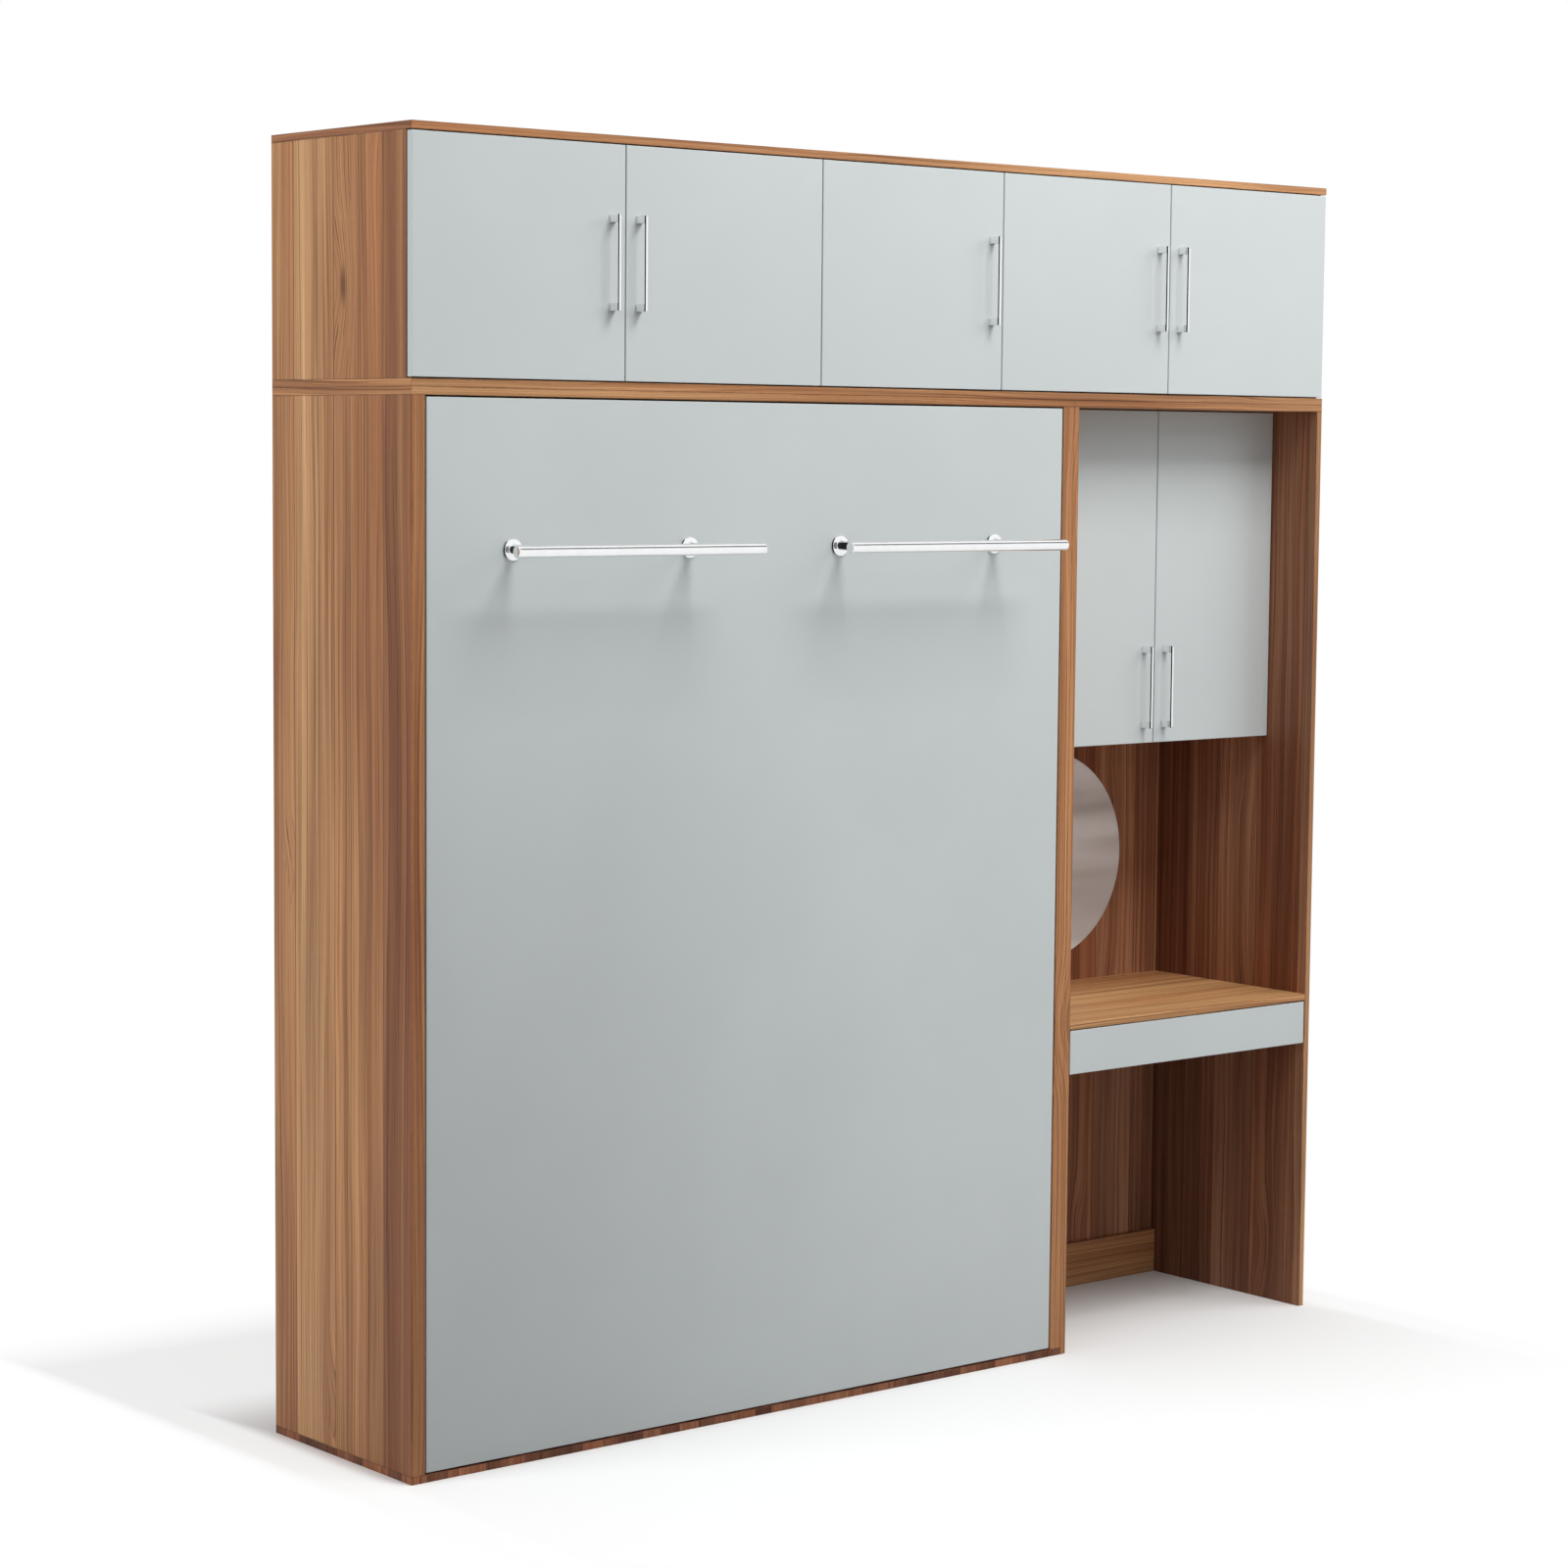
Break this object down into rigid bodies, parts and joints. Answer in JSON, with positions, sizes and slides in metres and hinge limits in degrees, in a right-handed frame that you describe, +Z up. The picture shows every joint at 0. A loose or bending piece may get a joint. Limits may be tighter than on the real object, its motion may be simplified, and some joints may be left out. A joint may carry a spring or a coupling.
{
  "type": "fold-down wall bed with desk unit",
  "caption": "Tall wall bed that folds down from a walnut cabinet, with a desk niche, a round mirror and cupboards above, behind light grey fronts.",
  "frame": {"origin": "on the floor, at the middle of the footprint, bars included", "axes": "+X to the right as seen from the front, +Y from the room towards the wall, +Z up"},
  "size_m": [2.606, 0.662, 2.7],
  "materials": {
    "walnut_board": "walnut-look laminate, satin",
    "walnut_inner": "walnut-look thin back board",
    "grey_front": "light grey laminate, matt",
    "drawer_board": "grey laminate, matt",
    "slat_wood": "birch plywood, satin",
    "frame_steel": "black powder coat",
    "zinc_steel": "zinc-plated steel",
    "chrome": "polished chrome",
    "handle_metal": "polished chrome",
    "mirror_glass": "silvered glass",
    "mattress_cloth": "knitted ticking",
    "webbing": "woven webbing",
    "black_plastic": "moulded nylon"
  },
  "bodies": {
    "cabinet": {"base_board": "walnut_board", "bed_side_panel_left": "walnut_board", "bed_side_panel_right": "walnut_board", "bed_top_board": "walnut_board", "bed_back_panel": "walnut_inner", "rear_rails": "walnut_board", "desk_side_panel_left": "walnut_board", "desk_side_panel_right": "walnut_board", "desk_top_board": "walnut_board", "desk_back_panel": "walnut_inner", "desktop": "walnut_board", "wall_cabinet_bottom": "walnut_board", "wall_cabinet_shelf": "walnut_board", "shelf_pins": "zinc_steel", "round_mirror": "mirror_glass", "upper_bottom_board": "walnut_board", "upper_top_board": "walnut_board", "upper_uprights": "walnut_board", "upper_back_panel": "walnut_inner", "hinge_arms": "zinc_steel", "drawer_runners": "zinc_steel", "pivot_brackets": "frame_steel", "pivot_pins": "zinc_steel", "closing_stops": "frame_steel"},
    "upper_door_1": {"upper_door_1": "grey_front", "upper_door_1_handle": "handle_metal", "upper_door_1_hinge_cups": "zinc_steel"},
    "upper_door_2": {"upper_door_2": "grey_front", "upper_door_2_handle": "handle_metal", "upper_door_2_hinge_cups": "zinc_steel"},
    "upper_door_3": {"upper_door_3": "grey_front", "upper_door_3_handle": "handle_metal", "upper_door_3_hinge_cups": "zinc_steel"},
    "upper_door_4": {"upper_door_4": "grey_front", "upper_door_4_handle": "handle_metal", "upper_door_4_hinge_cups": "zinc_steel"},
    "upper_door_5": {"upper_door_5": "grey_front", "upper_door_5_handle": "handle_metal", "upper_door_5_hinge_cups": "zinc_steel"},
    "wall_door_left": {"wall_door_left": "grey_front", "wall_door_left_handle": "handle_metal", "wall_door_left_hinge_cups": "zinc_steel"},
    "wall_door_right": {"wall_door_right": "grey_front", "wall_door_right_handle": "handle_metal", "wall_door_right_hinge_cups": "zinc_steel"},
    "drawer": {"drawer_front": "grey_front", "drawer_box": "drawer_board", "drawer_slides": "zinc_steel"},
    "bed": {"bed_front_panel": "grey_front", "bed_side_rails": "frame_steel", "bed_cross_rails": "frame_steel", "bed_slats": "slat_wood", "slat_holders": "black_plastic", "mattress": "mattress_cloth", "mattress_straps": "webbing", "leg_bars": "chrome", "bar_nuts": "zinc_steel", "bed_pivot_plates": "frame_steel"},
    "strut_cylinders": {"strut_cylinders": "frame_steel"},
    "strut_rods": {"strut_rods": "zinc_steel"}
  },
  "joints": [
    {"name": "bed_fold", "type": "hinge", "parent": "cabinet", "child": "bed", "pos_m": [-0.4095, -0.1525, 0.1795], "axis": [1, 0, 0], "range_deg": [0, 90]},
    {"name": "strut_cylinder_turn", "type": "hinge", "parent": "cabinet", "child": "strut_cylinders", "pos_m": [-0.4095, -0.13357, 0.3233], "axis": [1, 0, 0], "range_deg": [0, 45]},
    {"name": "strut_rod_turn", "type": "hinge", "parent": "bed", "child": "strut_rods", "pos_m": [-0.4095, -0.13357, 0.0357], "axis": [1, 0, 0], "range_deg": [-45, 0]},
    {"name": "upper_door_1_hinge", "type": "hinge", "parent": "cabinet", "child": "upper_door_1", "pos_m": [-1.30175, -0.1805, 2.4435], "axis": [0, 0, -1], "range_deg": [0, 90]},
    {"name": "upper_door_2_hinge", "type": "hinge", "parent": "cabinet", "child": "upper_door_2", "pos_m": [-0.26185, -0.1805, 2.4435], "axis": [0, 0, 1], "range_deg": [0, 85]},
    {"name": "upper_door_3_hinge", "type": "hinge", "parent": "cabinet", "child": "upper_door_3", "pos_m": [-0.25935, -0.1805, 2.4435], "axis": [0, 0, -1], "range_deg": [0, 85]},
    {"name": "upper_door_4_hinge", "type": "hinge", "parent": "cabinet", "child": "upper_door_4", "pos_m": [0.26185, -0.1805, 2.4435], "axis": [0, 0, -1], "range_deg": [0, 90]},
    {"name": "upper_door_5_hinge", "type": "hinge", "parent": "cabinet", "child": "upper_door_5", "pos_m": [1.30175, -0.1805, 2.4435], "axis": [0, 0, 1], "range_deg": [0, 90]},
    {"name": "wall_door_left_hinge", "type": "hinge", "parent": "cabinet", "child": "wall_door_left", "pos_m": [0.5025, -0.0405, 1.77775], "axis": [0, 0, -1], "range_deg": [0, 90]},
    {"name": "wall_door_right_hinge", "type": "hinge", "parent": "cabinet", "child": "wall_door_right", "pos_m": [1.2845, -0.0405, 1.77775], "axis": [0, 0, 1], "range_deg": [0, 90]},
    {"name": "drawer_slide", "type": "slide", "parent": "cabinet", "child": "drawer", "axis": [0, -1, 0], "range_m": [0, 0.3]}
  ],
  "couplings": [
    {"joint": "strut_cylinder_turn", "follows": "bed_fold", "ratio": 0.5},
    {"joint": "strut_rod_turn", "follows": "bed_fold", "ratio": -0.5}
  ]
}
